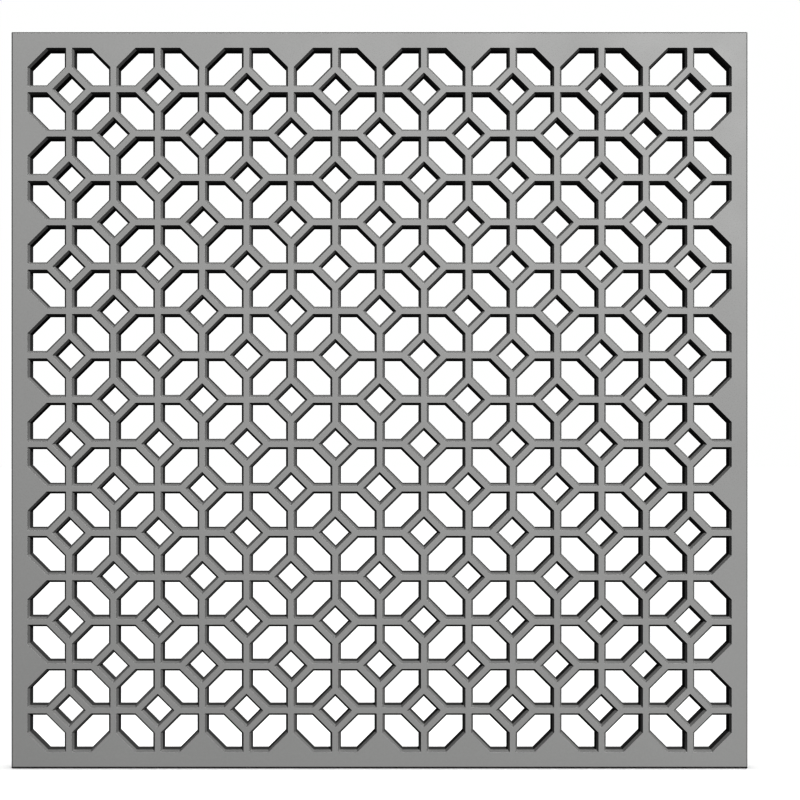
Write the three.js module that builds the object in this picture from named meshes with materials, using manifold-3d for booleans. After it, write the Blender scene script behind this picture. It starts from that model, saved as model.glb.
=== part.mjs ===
// A mashrabiya screen: one square board pierced right through by a lattice of straight and diagonal bars.
//
// Straight bars follow a square grid. At every second crossing, in a chequer, the bars stop at a small
// square ring that stands on its corner. Each ring is open in the middle, and each cell of the grid is
// left as a hexagonal hole, because the rings cut off two of its opposite corners. Along the border the
// rings have no room, so half a ring is solid there, and a quarter of one fills each corner.
//
// The board stands upright: X across, Y from front to back, Z up, millimetres. The origin is in the
// middle of the bottom edge, and the front looks along -Y.

import * as THREE from 'three';
import { mergeVertices } from 'three/addons/utils/BufferGeometryUtils.js';
import Module from 'manifold-3d';

// Driving dimensions
const SIDE = 1000; // width and height of the board
const THICKNESS = 18;
const CELLS = 16; // grid cells along each side
const EDGE_TO_GRID = 18.7; // from the board's edge to the middle of the outermost bar
const BAR = 13; // width of every bar
const CHAMFER_WIDTH = 2.5; // the board's front edge is taken off this far in from its four sides
const CHAMFER_DEPTH = 5; // and this far back from its front face
const SPARE = 10; // how far a cutter runs on past the board

const PITCH = (SIDE - 2 * EDGE_TO_GRID) / CELLS;
const RING_RADIUS = PITCH / 3; // from a ring's centre to the middle of each of its four bars
const FRONT_Y = -THICKNESS / 2;
const BACK_Y = THICKNESS / 2;

// Grid line number to millimetres. Half numbers are the middles of the cells.
function acrossAt(line) {
  return (line - CELLS / 2) * PITCH;
}

function heightAt(line) {
  return EDGE_TO_GRID + line * PITCH;
}

// The chequer of crossings that carry a ring, or half of one at the border.
function hasRing(column, row) {
  return (column + row) % 2 === 0;
}

function shapeFrom(corners) {
  return new THREE.Shape(corners.map(([x, z]) => new THREE.Vector2(x, z)));
}

// The hexagon left open in one cell, named by the crossing at its lower left: a square with the two
// corners that face a ring cut off.
function cellHole(column, row) {
  const half = (PITCH - BAR) / 2;
  const cut = Math.SQRT2 * (RING_RADIUS + BAR / 2) - BAR;
  const corners = [
    [cut - half, -half],
    [half, -half],
    [half, half - cut],
    [half - cut, half],
    [-half, half],
    [-half, cut - half],
  ];
  const mirror = hasRing(column, row) ? 1 : -1;
  const centreX = acrossAt(column + 0.5);
  const centreZ = heightAt(row + 0.5);
  return shapeFrom(corners.map(([x, z]) => [centreX + mirror * x, centreZ + z]));
}

// The square left open inside one ring. It stands on its corner.
function ringHole(column, row) {
  const reach = Math.SQRT2 * (RING_RADIUS - BAR / 2);
  const x = acrossAt(column);
  const z = heightAt(row);
  return shapeFrom([[x + reach, z], [x, z + reach], [x - reach, z], [x, z - reach]]);
}

function latticeHoles() {
  const holes = [];
  for (let column = 0; column < CELLS; column += 1) {
    for (let row = 0; row < CELLS; row += 1) {
      const clearOfBorder = column > 0 && row > 0;
      holes.push(cellHole(column, row));
      if (clearOfBorder && hasRing(column, row)) holes.push(ringHole(column, row));
    }
  }
  return holes;
}

// Extrudes outlines drawn in the X-Z plane backwards in Y, starting at frontY.
function extrudeBackwards(outlines, frontY, options) {
  const geometry = new THREE.ExtrudeGeometry(outlines, options);
  geometry.rotateX(Math.PI / 2);
  geometry.computeBoundingBox();
  geometry.translate(0, frontY - geometry.boundingBox.min.y, 0);
  return geometry;
}

const wasm = await Module();
wasm.setup();

function toSolid(geometry) {
  geometry.deleteAttribute('normal');
  geometry.deleteAttribute('uv');
  const merged = mergeVertices(geometry);
  return new wasm.Manifold(new wasm.Mesh({
    numProp: 3,
    vertProperties: merged.attributes.position.array,
    triVerts: merged.index.array,
  }));
}

function toGeometry(solid) {
  const mesh = solid.getMesh();
  const indexed = new THREE.BufferGeometry();
  indexed.setAttribute('position', new THREE.BufferAttribute(mesh.vertProperties, 3));
  indexed.setIndex(new THREE.BufferAttribute(mesh.triVerts, 1));
  const flatShaded = indexed.toNonIndexed();
  flatShaded.computeVertexNormals();
  return flatShaded;
}

// The outside of the board before it is pierced. The extrusion chamfers its front and its back alike,
// so it is made too thick, and the surplus behind the board is cut away.
function blankBoard() {
  const half = SIDE / 2 - CHAMFER_WIDTH;
  const foot = CHAMFER_WIDTH;
  const head = SIDE - CHAMFER_WIDTH;
  const face = shapeFrom([[-half, foot], [half, foot], [half, head], [-half, head]]);
  const stock = extrudeBackwards([face], FRONT_Y, {
    depth: THICKNESS,
    bevelThickness: CHAMFER_DEPTH,
    bevelSize: CHAMFER_WIDTH,
    bevelSegments: 1,
  });
  const surplus = new THREE.BoxGeometry(SIDE + 2 * SPARE, THICKNESS, SIDE + 2 * SPARE);
  surplus.translate(0, BACK_Y + THICKNESS / 2, SIDE / 2);
  return toSolid(stock).subtract(toSolid(surplus));
}

function screenPanel() {
  const cutters = extrudeBackwards(latticeHoles(), FRONT_Y - SPARE, {
    depth: THICKNESS + 2 * SPARE,
    bevelEnabled: false,
  });
  const board = blankBoard().subtract(toSolid(cutters));
  const greyPaint = new THREE.MeshStandardMaterial({ color: 0x9c9c9b, roughness: 0.55, metalness: 0 });
  const panel = new THREE.Mesh(toGeometry(board), greyPaint);
  panel.name = 'screen_panel';
  return panel;
}

const mashrabiyaScreen = new THREE.Group();
mashrabiyaScreen.add(screenPanel());

export default mashrabiyaScreen;
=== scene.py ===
"""A mashrabiya screen: one square board of routed wood, pierced by a lattice and sprayed satin grey.

Metres, X across, Y from front to back, Z up. The panel's bottom edge stands at the origin.
"""

import math

import bmesh
import bpy
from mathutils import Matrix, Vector
from mathutils.geometry import delaunay_2d_cdt


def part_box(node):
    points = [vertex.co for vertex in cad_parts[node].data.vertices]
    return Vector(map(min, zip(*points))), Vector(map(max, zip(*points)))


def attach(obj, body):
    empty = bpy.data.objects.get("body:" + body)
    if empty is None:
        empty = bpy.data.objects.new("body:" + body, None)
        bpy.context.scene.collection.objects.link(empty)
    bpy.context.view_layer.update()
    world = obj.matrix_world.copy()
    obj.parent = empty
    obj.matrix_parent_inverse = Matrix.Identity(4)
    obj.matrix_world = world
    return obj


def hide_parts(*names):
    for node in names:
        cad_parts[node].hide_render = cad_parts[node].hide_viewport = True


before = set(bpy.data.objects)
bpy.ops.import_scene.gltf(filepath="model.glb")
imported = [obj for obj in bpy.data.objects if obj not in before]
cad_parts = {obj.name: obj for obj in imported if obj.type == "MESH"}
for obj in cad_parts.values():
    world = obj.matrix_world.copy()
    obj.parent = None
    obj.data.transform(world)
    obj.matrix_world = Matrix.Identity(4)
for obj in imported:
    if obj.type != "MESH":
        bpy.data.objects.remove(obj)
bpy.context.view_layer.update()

# ---------------------------------------------------------------- the board's sizes, in metres

BOARD_LOW, BOARD_HIGH = (Vector(corner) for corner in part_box("screen_panel"))
SIDE = BOARD_HIGH.x - BOARD_LOW.x
THICKNESS = BOARD_HIGH.y - BOARD_LOW.y
CELLS = 16
EDGE_TO_GRID = 0.0187  # from the board's edge to the middle of the outermost bar
BAR = 0.013  # full width of every bar, just behind its chamfers
DRAFT = 0.0004  # fitted, as if the cutter tapered: each side of a bar is this much further out at the back
CHAMFER_WIDTH = 0.0025  # taken off in from the side, and
CHAMFER_DEPTH = 0.005  # back from the front
ARRIS_RADIUS = 0.00045  # paint and sanding round off every outside corner a little
ARRIS_STEPS = 3
SHOULDER_RADIUS = 0.0009  # where the chamfer meets the wall
SHOULDER_STEPS = 2
CORNER_RADIUS = 0.0006  # paint fills the corners of the holes, and the board's own are eased as much
CORNER_STEPS = 2

BOARD_MIDDLE = (BOARD_LOW + BOARD_HIGH) / 2
PITCH = (SIDE - 2 * EDGE_TO_GRID) / CELLS
RING_RADIUS = PITCH / 3  # from a ring's centre to the middle of each of its four bars


# ---------------------------------------------------------------- outlines

def across_at(line):
    return (line - CELLS / 2) * PITCH


def height_at(line):
    return BOARD_LOW.z + EDGE_TO_GRID + line * PITCH


def has_ring(column, row):
    return (column + row) % 2 == 0


def cell_outline(column, row, half_bar):
    """The hexagonal hole of one cell where the bars around it are half_bar wide on each side."""
    half = PITCH / 2 - half_bar
    cut = math.sqrt(2) * (RING_RADIUS + half_bar) - 2 * half_bar
    corners = [
        (cut - half, -half),
        (half, -half),
        (half, half - cut),
        (half - cut, half),
        (-half, half),
        (-half, cut - half),
    ]
    mirror = 1 if has_ring(column, row) else -1
    x, z = across_at(column + 0.5), height_at(row + 0.5)
    return [Vector((x + mirror * dx, z + dz)) for dx, dz in corners[::mirror]]


def ring_outline(column, row, half_bar):
    """The square hole inside one ring, standing on its corner."""
    reach = math.sqrt(2) * (RING_RADIUS - half_bar)
    x, z = across_at(column), height_at(row)
    return [Vector((x + dx * reach, z + dz * reach)) for dx, dz in ((1, 0), (0, 1), (-1, 0), (0, -1))]


def board_outline(inset):
    """The board's outside with inset taken off all round."""
    left, right = BOARD_LOW.x + inset, BOARD_HIGH.x - inset
    foot, head = BOARD_LOW.z + inset, BOARD_HIGH.z - inset
    return [Vector(corner) for corner in ((left, foot), (right, foot), (right, head), (left, head))]


def fillet(before, corner, after, radius, steps):
    """Points of the arc that rounds one corner of an outline or a profile."""
    back, on = (before - corner).normalized(), (after - corner).normalized()
    half_angle = back.angle(on) / 2
    tangent = radius / math.tan(half_angle)
    centre = corner + (back + on).normalized() * radius / math.sin(half_angle)
    start, end = corner + back * tangent - centre, corner + on * tangent - centre
    sweep = start.angle_signed(end)
    return [centre + rotated(start, -sweep * step / steps) for step in range(steps + 1)]


def rotated(vector, angle):
    cos, sin = math.cos(angle), math.sin(angle)
    return Vector((vector.x * cos - vector.y * sin, vector.x * sin + vector.y * cos))


def rounded(outline, radius):
    """The outline with every corner rounded."""
    points = []
    for index, corner in enumerate(outline):
        before, after = outline[index - 1], outline[(index + 1) % len(outline)]
        points += fillet(before, corner, after, radius, CORNER_STEPS)
    return points


def edge_profile(draft):
    """How much is taken off an edge, and how deep, from the front round the chamfer to the back."""
    front_middle, back_middle = Vector((BAR / 2, 0)), Vector((BAR / 2, THICKNESS))
    front_edge = Vector((CHAMFER_WIDTH, 0))
    shoulder = Vector((0, CHAMFER_DEPTH))
    back_edge = Vector((-draft, THICKNESS))
    return [
        *fillet(front_middle, front_edge, shoulder, ARRIS_RADIUS, ARRIS_STEPS),
        *fillet(front_edge, shoulder, back_edge, SHOULDER_RADIUS, SHOULDER_STEPS),
        *fillet(shoulder, back_edge, back_middle, ARRIS_RADIUS, ARRIS_STEPS),
    ]


# ---------------------------------------------------------------- the panel's mesh

FILLED_INSIDE = 1  # the triangulation's own number for keeping only what the outline encloses
SAME_POINT = 1e-7  # points nearer than this would be merged
LARGEST_FACES_DECIDE = 100  # of 100: how far a large face rules the shading where it meets small ones


def hole_outlines(half_bar):
    outlines = []
    for column in range(CELLS):
        for row in range(CELLS):
            outlines.append(cell_outline(column, row, half_bar))
            if column and row and has_ring(column, row):
                outlines.append(ring_outline(column, row, half_bar))
    return outlines


def add_ring(mesh, outline, depth):
    """The points of one outline, with its corners rounded, at one depth behind the front."""
    y = BOARD_LOW.y + depth
    return [mesh.verts.new((point.x, y, point.y)) for point in rounded(outline, CORNER_RADIUS)]


def flat_face(mesh, rings):
    """Closes the front or the back: a triangulation of the board's outline, less the holes."""
    verts = [vert for ring in rings for vert in ring]
    owner = [index for index, ring in enumerate(rings) for _ in ring]
    loops, first = [], 0
    for ring in rings:
        loops.append(list(range(first, first + len(ring))))
        first += len(ring)
    edges = [(a, b) for loop in loops for a, b in zip(loop, loop[1:] + loop[:1])]
    flat = [Vector((vert.co.x, vert.co.z)) for vert in verts]
    points, _, faces, origins, *_ = delaunay_2d_cdt(flat, edges, loops[:1], FILLED_INSIDE, SAME_POINT)
    assert len(points) == len(verts), "the triangulation added or merged a point"
    for face in faces:
        corners = [origins[index][0] for index in face]
        owners = {owner[index] for index in corners}
        inside_a_hole = len(owners) == 1 and 0 not in owners
        if not inside_a_hole:
            mesh.faces.new([verts[index] for index in corners])


def build_panel():
    """Levels of rings of points, the board's outside first in each, joined by walls and closed by faces."""
    mesh = bmesh.new()
    levels = []
    for board_edge, hole_edge in zip(edge_profile(0), edge_profile(DRAFT)):
        board_inset, board_depth = board_edge
        hole_inset, hole_depth = hole_edge
        outside = add_ring(mesh, board_outline(board_inset), board_depth)
        holes = [add_ring(mesh, outline, hole_depth) for outline in hole_outlines(BAR / 2 - hole_inset)]
        levels.append([outside, *holes])
    for level, following in zip(levels, levels[1:]):
        for ring, next_ring in zip(level, following):
            for index in range(len(ring)):
                after = (index + 1) % len(ring)
                mesh.faces.new((ring[index], ring[after], next_ring[after], next_ring[index]))
    flat_face(mesh, levels[0])
    flat_face(mesh, levels[-1])
    bmesh.ops.recalc_face_normals(mesh, faces=mesh.faces)
    data = bpy.data.meshes.new("lattice_board")
    mesh.to_mesh(data)
    mesh.free()
    data.shade_smooth()
    panel = bpy.data.objects.new("lattice_board", data)
    bpy.context.scene.collection.objects.link(panel)
    weighted = panel.modifiers.new("flat_faces_stay_flat", "WEIGHTED_NORMAL")
    weighted.weight = LARGEST_FACES_DECIDE
    return panel


# ---------------------------------------------------------------- materials

PAINT_GREY = (0.33, 0.33, 0.328)
NOISE_MIDDLE = (0.3, 0.7)  # where most of a noise's values lie

# A normal points to the front or back by 0 on a wall, 0.45 on a chamfer and 1 on a face.
CHAMFER_TO_FACE = (0.5, 0.95)
WALL_TO_CHAMFER = (0.08, 0.40)
HOLES_TO_OUTER_SIDE = (SIDE / 2 - 0.002, SIDE / 2 - 0.001)  # from the board's middle, across or up

# what the paint's colour is multiplied by, the painted shade on the hole walls included
DRIFT_TONES = (0.985, 1.015)
MIST_TONES = (0.985, 1.015)
FIBRE_TONES = (0.94, 1.02)
HOLE_WALL_PAINTED_SHADE = 0.76  # fitted painted shade: the walls of the holes are darkened, as shade would fall in them

FACE_ROUGHNESS = (0.60, 0.67)
CUT_ROUGHNESS = 0.10  # more than a face has
ORANGE_PEEL_HEIGHT = 0.000012
FIBRE_HEIGHT = 0.000006


class Nodes:
    """Short names for the shader nodes that the materials are made of."""

    def __init__(self, name):
        self.material = bpy.data.materials.new(name)
        self.material.use_nodes = True
        self.tree = self.material.node_tree
        self.shader = self.tree.nodes["Principled BSDF"]

    def add(self, kind, **settings):
        node = self.tree.nodes.new(kind)
        for name, value in settings.items():
            setattr(node, name, value)
        return node

    def feed(self, socket, value):
        if isinstance(value, bpy.types.NodeSocket):
            self.tree.links.new(value, socket)
        else:
            socket.default_value = value

    def math(self, operation, first, second):
        node = self.add("ShaderNodeMath", operation=operation)
        self.feed(node.inputs[0], first)
        self.feed(node.inputs[1], second)
        return node.outputs[0]

    def split(self, vector):
        node = self.add("ShaderNodeSeparateXYZ")
        self.feed(node.inputs[0], vector)
        return node.outputs

    def absolute(self, value):
        return self.math("ABSOLUTE", value, 0.0)

    def spread(self, value, low, high, source=NOISE_MIDDLE):
        """Maps the two ends of source to low and high, and all beyond them too."""
        node = self.add("ShaderNodeMapRange")
        self.feed(node.inputs["Value"], value)
        node.inputs["From Min"].default_value, node.inputs["From Max"].default_value = source
        node.inputs["To Min"].default_value, node.inputs["To Max"].default_value = low, high
        return node.outputs[0]

    def noise(self, place, scale, detail=2.0, roughness=0.5):
        node = self.add("ShaderNodeTexNoise")
        self.feed(node.inputs["Vector"], place)
        node.inputs["Scale"].default_value = scale
        node.inputs["Detail"].default_value = detail
        node.inputs["Roughness"].default_value = roughness
        return node.outputs[0]

    def stretched(self, place, scale):
        node = self.add("ShaderNodeMapping")
        self.feed(node.inputs["Vector"], place)
        node.inputs["Scale"].default_value = scale
        return node.outputs[0]

    def mix(self, factor, first, second):
        node = self.add("ShaderNodeMix", data_type="FLOAT")
        self.feed(node.inputs[0], factor)
        self.feed(node.inputs[2], first)
        self.feed(node.inputs[3], second)
        return node.outputs[0]

    def bump(self, height, distance, normal=None):
        node = self.add("ShaderNodeBump")
        self.feed(node.inputs["Height"], height)
        node.inputs["Strength"].default_value = 1.0
        node.inputs["Distance"].default_value = distance
        if normal is not None:
            self.feed(node.inputs["Normal"], normal)
        return node.outputs[0]


def painted_board():
    """Satin grey spray paint on a routed board.

    The cut sides take the paint less evenly than the faces, and the walls of the holes are darkened with
    painted shade.
    """
    nodes = Nodes("painted_board")
    coordinates = nodes.add("ShaderNodeTexCoord")
    place = coordinates.outputs["Object"]
    facing = nodes.absolute(nodes.split(coordinates.outputs["Normal"])["Y"])
    cut_side = nodes.spread(facing, 1.0, 0.0, source=CHAMFER_TO_FACE)
    square_cut = nodes.spread(facing, 1.0, 0.0, source=WALL_TO_CHAMFER)
    across, height = nodes.split(place)["X"], nodes.split(place)["Z"]
    up = nodes.math("SUBTRACT", height, BOARD_MIDDLE.z)
    from_middle = nodes.math("MAXIMUM", nodes.absolute(across), nodes.absolute(up))
    inside = nodes.spread(from_middle, 1.0, 0.0, source=HOLES_TO_OUTER_SIDE)
    # painted shade: a mask of the walls of the holes, the outer sides left out
    painted_shade_mask = nodes.math("MULTIPLY", square_cut, inside)

    drift = nodes.spread(nodes.noise(place, scale=3.5, detail=1.0), *DRIFT_TONES)
    mist = nodes.spread(nodes.noise(place, scale=420.0, detail=3.0, roughness=0.6), *MIST_TONES)
    along_the_plies = nodes.stretched(place, (60.0, 2200.0, 60.0))
    layers = nodes.noise(along_the_plies, scale=1.0, detail=3.0, roughness=0.65)
    absorbed = nodes.mix(cut_side, 1.0, nodes.spread(layers, *FIBRE_TONES))
    # painted shade: the walls of the holes are darkened
    painted_shade = nodes.mix(painted_shade_mask, 1.0, HOLE_WALL_PAINTED_SHADE)
    spray = nodes.math("MULTIPLY", drift, mist)
    tone = nodes.math("MULTIPLY", spray, nodes.math("MULTIPLY", absorbed, painted_shade))
    colour = nodes.add("ShaderNodeMix", data_type="RGBA", blend_type="MULTIPLY")
    colour.inputs[0].default_value = 1.0
    colour.inputs[6].default_value = (*PAINT_GREY, 1.0)
    nodes.feed(colour.inputs[7], tone)
    nodes.feed(nodes.shader.inputs["Base Color"], colour.outputs[2])

    sheen_patches = nodes.spread(nodes.noise(place, scale=9.0, detail=3.0), *FACE_ROUGHNESS)
    dry_cut = nodes.math("MULTIPLY", cut_side, CUT_ROUGHNESS)
    nodes.feed(nodes.shader.inputs["Roughness"], nodes.math("ADD", sheen_patches, dry_cut))

    orange_peel = nodes.bump(nodes.noise(place, scale=330.0, detail=1.5), ORANGE_PEEL_HEIGHT)
    fibres = nodes.math("MULTIPLY", layers, cut_side)
    nodes.feed(nodes.shader.inputs["Normal"], nodes.bump(fibres, FIBRE_HEIGHT, orange_peel))
    return nodes.material


def pale_floor():
    nodes = Nodes("pale_floor")
    place = nodes.add("ShaderNodeTexCoord").outputs["Object"]
    tone = nodes.add("ShaderNodeCombineColor")
    for channel in tone.inputs:
        nodes.feed(channel, nodes.spread(nodes.noise(place, scale=6.0), *FLOOR_TONES))
    nodes.feed(nodes.shader.inputs["Base Color"], tone.outputs[0])
    nodes.shader.inputs["Roughness"].default_value = 1.0
    nodes.shader.inputs["Specular IOR Level"].default_value = 0.0
    return nodes.material


# ---------------------------------------------------------------- the studio

CAMERA_DISTANCE = 1.815  # in front of the board's face
CAMERA_TO_THE_RIGHT = 0.0278
CAMERA_LENS = 60.25
CAMERA_SENSOR = 36.0
WHITE = 1.0  # seen brightness of the room; the floor comes out above it, so it shows as plain white
ROOM_LIGHT = 0.02  # what little of the room's light falls on the board
FLOOR_TONES = (0.88, 0.89)
FLOOR_REACH = 8.0
FLOOR_CORNERS = ((-1, -1), (1, -1), (1, 1), (-1, 1))
CONTACT_SHADOW = 0.5  # how much of the floor's light the board can keep off it
SUN_DISTANCE = 4.0  # only its direction counts


def add_camera():
    data = bpy.data.cameras.new("camera")
    data.sensor_width = CAMERA_SENSOR
    data.lens = CAMERA_LENS
    camera = bpy.data.objects.new("camera", data)
    camera.location = (CAMERA_TO_THE_RIGHT, BOARD_LOW.y - CAMERA_DISTANCE, BOARD_MIDDLE.z)
    camera.rotation_euler = (math.radians(90), 0, 0)
    bpy.context.scene.collection.objects.link(camera)
    bpy.context.scene.camera = camera


def add_light(kind, name, lit, azimuth, elevation, distance):
    """A lamp that lights one object and aims at the board's middle.

    Azimuth 0 is straight in front of the board, and 90 is to its right.
    """
    data = bpy.data.lights.new(name, kind)
    light = bpy.data.objects.new(name, data)
    turn, lift = math.radians(azimuth), math.radians(elevation)
    away = Vector((math.sin(turn) * math.cos(lift), -math.cos(turn) * math.cos(lift), math.sin(lift)))
    light.location = BOARD_MIDDLE + away * distance
    light.rotation_euler = away.to_track_quat("Z", "Y").to_euler()
    bpy.context.scene.collection.objects.link(light)
    light.light_linking.receiver_collection = bpy.data.collections.new("lit_by_" + name)
    light.light_linking.receiver_collection.objects.link(lit)
    return data


def add_softbox(name, lit, azimuth, elevation, distance, size, brightness):
    """A square soft lamp. Its brightness is the light that reaches the board's middle, in W/m2."""
    data = add_light("AREA", name, lit, azimuth, elevation, distance)
    data.size = size
    data.energy = brightness * math.pi * distance**2


def add_sun(name, lit, azimuth, elevation, brightness, softness):
    """An even light from one direction, its disc softness degrees across."""
    data = add_light("SUN", name, lit, azimuth, elevation, SUN_DISTANCE)
    data.energy = brightness
    data.angle = math.radians(softness)
    return data


def add_floor():
    """A pale floor with lights of its own, bright enough to show as white as the room around it."""
    corners = [(across * FLOOR_REACH, back * FLOOR_REACH, 0) for across, back in FLOOR_CORNERS]
    data = bpy.data.meshes.new("floor")
    data.from_pydata(corners, [], [list(range(len(corners)))])
    data.materials.append(pale_floor())
    floor = bpy.data.objects.new("floor", data)
    floor.location.z = BOARD_LOW.z
    floor.visible_diffuse = False
    floor.visible_glossy = False
    floor.visible_shadow = False
    bpy.context.scene.collection.objects.link(floor)
    full = WHITE * math.pi / FLOOR_TONES[0]
    from_above = {"azimuth": 0.0, "elevation": 90.0, "softness": 4.0}
    add_sun("floor_light", floor, brightness=CONTACT_SHADOW * full, **from_above)
    fill = add_sun("floor_fill", floor, brightness=(1.0 - CONTACT_SHADOW) * full, **from_above)
    fill.use_shadow = False


def add_room():
    """White all round, but only a little of it lights the board, so that its cut sides stay dark."""
    world = bpy.data.worlds.new("white_room")
    world.use_nodes = True
    tree = world.node_tree
    ray = tree.nodes.new("ShaderNodeLightPath")
    strength = tree.nodes.new("ShaderNodeMapRange")
    strength.inputs["To Min"].default_value = ROOM_LIGHT
    strength.inputs["To Max"].default_value = WHITE
    tree.links.new(ray.outputs["Is Camera Ray"], strength.inputs["Value"])
    tree.links.new(strength.outputs[0], tree.nodes["Background"].inputs["Strength"])
    tree.nodes["Background"].inputs["Color"].default_value = (1.0, 1.0, 1.0, 1.0)
    bpy.context.scene.world = world


panel = build_panel()
panel.data.materials.append(painted_board())

add_camera()
add_room()
add_floor()
add_softbox("key", panel, azimuth=15.0, elevation=24.0, distance=12.0, size=1.6, brightness=5.9)
add_sun("behind", panel, azimuth=180.0, elevation=0.0, brightness=4.6, softness=0.5)

# these two graze the board, so they reach its outer sides and their chamfers, but not the holes
add_sun("from_left", panel, azimuth=270.0, elevation=0.0, brightness=1.25, softness=0.5)
add_sun("from_right", panel, azimuth=90.0, elevation=0.0, brightness=0.6, softness=0.5)

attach(panel, "root")
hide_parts("screen_panel")

bpy.context.scene.view_settings.view_transform = "Raw"
